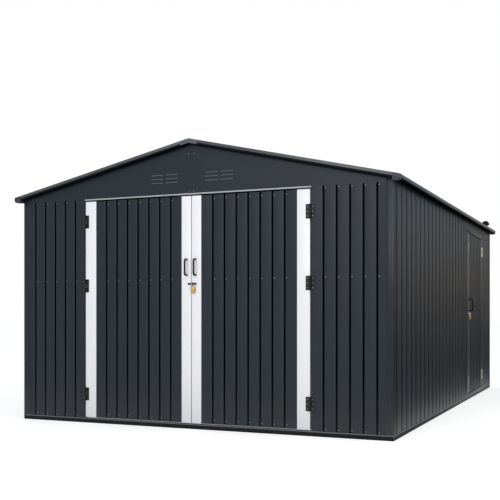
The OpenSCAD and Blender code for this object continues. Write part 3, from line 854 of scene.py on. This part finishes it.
def screw_walls(screw, walls):
    """Three screws beside each groove, and two pairs on the front gable's lap."""
    front_places, left_places, right_places, rear_places = walls
    rail_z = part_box("base_rails_front_rear")[1].z + 0.018
    low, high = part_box("front_wall_right")
    wall_top = high.z - 0.016
    front_y = low.y
    right_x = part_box("right_wall_front")[1].x
    rear_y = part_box("rear_wall")[1].y
    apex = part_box("gable_front_right")[1].z
    levels = (rail_z, GIRT_Z, wall_top)
    gable_foot = [Vector((x, front_y, wall_top + 0.034)) for x in (-0.02, 0.02)]
    near_ridge = [Vector((x, front_y, apex - 0.10)) for x in (-0.025, 0.025)]
    screw_rows(screw, "front_wall_screws",
               [Vector((x + SCREW_BESIDE, front_y, z)) for x in front_places for z in levels]
               + gable_foot + near_ridge, -Y)
    screw_rows(screw, "left_wall_screws",
               [Vector((-right_x, y + SCREW_BESIDE, z)) for y in left_places for z in levels], -X)
    screw_rows(screw, "right_wall_screws",
               [Vector((right_x, y + SCREW_BESIDE, z)) for y in right_places for z in levels], X)
    screw_rows(screw, "rear_wall_screws",
               [Vector((x + SCREW_BESIDE, rear_y, z)) for x in rear_places for z in levels], Y)


def screw_doors(screw, doors):
    """Three screws beside each groove of the leaves."""
    front_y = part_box("front_wall_right")[0].y
    leaf_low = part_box("right_door_panel")[0].z + SCREW_FROM_EDGE
    leaf_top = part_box("right_door_panel")[1].z - SCREW_FROM_EDGE
    for door in ("left_door", "right_door"):
        screw_rows(screw, door + "_screws",
                   [Vector((x + SCREW_BESIDE, front_y, z)) for x in doors[door]
                    for z in (leaf_low, GIRT_Z, leaf_top)], -Y, door)
    low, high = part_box("side_door_panel")
    levels = (low.z + SCREW_FROM_EDGE, (low.z + high.z) / 2, high.z - SCREW_FROM_EDGE)
    screw_rows(screw, "side_door_screws",
               [Vector((high.x, y + SCREW_BESIDE, z)) for y in doors["side_door"]
                for z in levels], X, "side_door")


def screw_hinges(screw):
    """Three screws in each plate of the front hinges."""
    front_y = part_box("front_wall_right")[0].y
    half_plate = 0.055
    middle_hinge = 1.165
    step = 0.036
    fixed_low, fixed_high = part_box("front_hinge_plates")
    left_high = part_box("left_door_hinges")[1]
    right_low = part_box("right_door_hinges")[0]
    for node, body, plate_t, columns in (
            ("front_hinge_plates", "garage", 0.0025, (fixed_low.x + 0.017, fixed_high.x - 0.017)),
            ("left_door_hinges", "left_door", 0.0055, (left_high.x - 0.0295,)),
            ("right_door_hinges", "right_door", 0.0055, (right_low.x + 0.0145,))):
        low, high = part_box(node)
        middles = (low.z + half_plate, middle_hinge, high.z - half_plate)
        screw_rows(screw, node + "_screws",
                   [Vector((x, front_y - plate_t, z + rise)) for x in columns for z in middles
                    for rise in (-step, 0.0, step)], -Y, body)


def make_screws(walls, doors, roof):
    screw = screw_pattern()
    screw_walls(screw, walls)
    screw_doors(screw, doors)
    for name, (points, square) in roof.items():
        screw_rows(screw, name + "_screws", points, square)
    screw_hinges(screw)
    bpy.data.objects.remove(screw)


def make_louvres():
    """Two columns of three pressed louvres each side of both gables' middle."""
    louvre = louvre_pattern()
    inner, width, gap = 0.128, 0.104, 0.033
    centres = [inner + width / 2, inner + width * 1.5 + gap]
    levels = (1.999, 2.031, 2.063)
    for name, facing, y in (("front", -Y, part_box("gable_front_right")[0].y),
                            ("rear", Y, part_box("gable_rear_right")[1].y)):
        # The hoods take the light lip grey: a painted highlight on their tops
        copies(name + "_louvres", louvre,
               [Vector((side * x, y, z)) for side in (-1, 1) for x in centres for z in levels],
               facing, "garage", "anthracite_sheet", LIP_HIGHLIGHT)
    bpy.data.objects.remove(louvre)


def make_handle(name, node, body, outward):
    """A round pull bar with rounded elbows, and a short length doubled at each foot."""
    low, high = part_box(node)
    form = bmesh.new()
    bar = 0.0075
    elbow = 0.016
    foot_depth = 0.003
    middle = (low + high) / 2
    if outward == X:
        reach = high.x - low.x
        face = Vector((low.x, middle.y, 0))
    else:
        reach = high.y - low.y
        face = Vector((middle.x, high.y, 0))
    top, foot = high.z - bar, low.z + bar
    far = outward * (reach - bar)
    corners = [face + Z * top, face + far + Z * top, face + far + Z * foot, face + Z * foot]
    tube(form, rounded(corners, elbow, 8), bar, 16)
    for z in (top, foot):
        centre = face + Z * z
        tube(form, [centre, centre + outward * foot_depth], bar, 16)
    new_piece(name, mesh_from(form, name, 40), body, "black_hardware", nodes=(node,))


def make_padlock(name, node, body, outward):
    """A brass body with rounded edges, and a steel shackle."""
    low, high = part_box(node)
    along = Z.cross(outward).normalized()
    centre = (low + high) / 2
    half_w = 0.017
    half_t = 0.009
    body_top = low.z + 0.052
    form = bmesh.new()
    block(form, (-half_w, -half_t, low.z), (half_w, half_t, body_top), 0.0028, 3)
    turn = Matrix((along, outward, Z)).transposed().to_4x4()
    turn.translation = Vector((centre.x, centre.y, 0))
    bmesh.ops.transform(form, matrix=turn, verts=form.verts)
    new_piece(name + "_body", mesh_from(form, name, 40), body, "padlock_brass", nodes=(node,))
    form = bmesh.new()
    radius, bar = 0.010, 0.0025
    arch = high.z - bar - radius
    path = [Vector((-radius, 0, body_top - 0.004))]
    path += [Vector((-radius * math.cos(a), 0, arch + radius * math.sin(a)))
             for a in (math.pi * i / 16 for i in range(17))]
    path.append(Vector((radius, 0, body_top - 0.004)))
    tube(form, path, bar, 12)
    bmesh.ops.transform(form, matrix=turn, verts=form.verts)
    new_piece(name + "_shackle", mesh_from(form, name, 40), body, "padlock_brass", SHACKLE_STEEL)


def make_beads():
    """The corner posts' raised folds, the base rail's lip and the laps in the gables."""
    form = bmesh.new()
    low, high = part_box("corner_posts")
    bead = 0.0022
    for side in (-1, 1):
        for end in (-1, 1):
            for inset in (0.020, 0.044):
                x, y = side * high.x, end * high.y
                tube(form, [Vector((x - side * inset, y, low.z + 0.002)),
                            Vector((x - side * inset, y, high.z - 0.04))], bead, 10)
                tube(form, [Vector((x, y - end * inset, low.z + 0.002)),
                            Vector((x, y - end * inset, high.z - 0.04))], bead, 10)
    new_piece("corner_post_beads", mesh_from(form, "corner_post_beads"), "garage",
              "side_door_frame")

    # A rolled lip along the top of the base rail, in the light lip grey: a painted highlight along the
    # rail's top edge
    form = bmesh.new()
    low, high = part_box("base_rails_front_rear")
    lip = 0.004
    for end in (-1, 1):
        block(form, (low.x, end * high.y - lip / 2, high.z - 0.008),
              (high.x, end * high.y + lip / 2, high.z), 0.0015)
    for side in (-1, 1):
        block(form, (side * high.x - lip / 2, low.y, high.z - 0.008),
              (side * high.x + lip / 2, high.y, high.z), 0.0015)
    new_piece("base_rail_lip", mesh_from(form, "base_rail_lip"), "garage", "base_rail", LIP_HIGHLIGHT)

    # The lap where the two halves of each gable meet
    form = bmesh.new()
    low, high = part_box("gable_front_right")
    for end in (-1, 1):
        face = end * abs(low.y)
        block(form, (-0.009, min(face, face + end * 0.0014), low.z),
              (0.009, max(face, face + end * 0.0014), high.z - 0.008), 0.0005, 1)
    new_piece("gable_laps", mesh_from(form, "gable_laps"), "garage", "anthracite_sheet")


def make_header_strip():
    """The slim pale strip over the doors."""
    low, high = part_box("door_header")
    form = bmesh.new()
    block(form, (low.x, low.y, low.z + 0.003), (high.x, high.y, low.z + 0.014), 0.0008)
    new_piece("header_strip", mesh_from(form, "header_strip"), "garage", "pale_stile",
              HEADER_GREY, ("door_header",))


def make_side_door_edging():
    """A pale seal down the latch edge of the side door's leaf."""
    low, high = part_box("side_door_stiles")
    form = bmesh.new()
    block(form, (high.x - 0.006, low.y - 0.003, low.z), (high.x, low.y, high.z), 0.0008)
    new_piece("side_door_seal", mesh_from(form, "side_door_seal"), "side_door",
              "side_door_frame", HEADER_GREY)


def make_closure_shade_strips():
    """Dark strips 30 mm tall along the gables' and side walls' tops under the roof sheets: a guessed
    closure strip that also stands in, as painted shade, for the shade under the roof edge.
    """
    form = bmesh.new()
    low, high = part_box("gable_front_right")
    tall, thick = 0.030, 0.0012
    foot = high.z - high.x * math.tan(ROOF_PITCH)
    for end in (-1, 1):
        for side in (-1, 1):
            face = end * abs(low.y)
            corners = [(0, high.z - tall), (side * high.x, foot - tall), (side * high.x, foot),
                       (0, high.z)]
            near = [form.verts.new((x, face, z)) for x, z in corners]
            far = [form.verts.new((x, face + end * thick, z)) for x, z in corners]
            form.faces.new(near)
            form.faces.new(far)
            for place in range(4):
                after = (place + 1) % 4
                form.faces.new((near[place], near[after], far[after], far[place]))
    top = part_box("right_wall_front")[1]
    for side in (-1, 1):
        inner, outer = sorted((side * top.x, side * (top.x + thick)))
        block(form, (inner, low.y, top.z - tall), (outer, -low.y, top.z))
    new_piece("closure_strips", mesh_from(form, "closure_strips"), "garage", "black_plastic")


def soften_plain_nodes():
    for node in ("corner_posts", "base_rails_front_rear", "base_rails_sides",
                 "left_door_stiles", "right_door_stiles", "side_door_stiles",
                 "side_door_jambs", "side_door_head", "side_door_sill",
                 "door_posts", "cross_beams", "eave_beams", "wall_girts", "tie_beams",
                 "king_posts", "ridge_beam", "purlins", "left_door_rails",
                 "right_door_rails", "side_door_rails"):
        softened(node, 0.0018)
    for node in ("verge_trims", "eave_trims", "left_door_keeper", "right_door_hasp", "side_door_latches"):
        softened(node, 0.0007)
    softened("ridge_cap", 0.0007, 2, RIDGE_GREY)
    softened("eave_corner_caps", 0.003, 3, CAP_GREY)


make_camera()
make_world()
make_floor()
make_lights()
make_card()
dress_cad_nodes()
wall_places = make_wall_sheets()
door_places = make_door_sheets()
roof_points = make_roof_sheets()
make_screws(wall_places, door_places, roof_points)
make_louvres()
make_handle("left_pull_handle", "left_door_handle", "left_door", -Y)
make_handle("right_pull_handle", "right_door_handle", "right_door", -Y)
make_handle("side_pull_handle", "side_door_handle", "side_door", X)
make_padlock("front_lock", "front_padlock", "right_door", -Y)
make_padlock("side_lock", "side_padlock", "side_door", X)
make_beads()
make_header_strip()
make_closure_shade_strips()
make_side_door_edging()
soften_plain_nodes()

bpy.context.scene.view_settings.view_transform = "Standard"
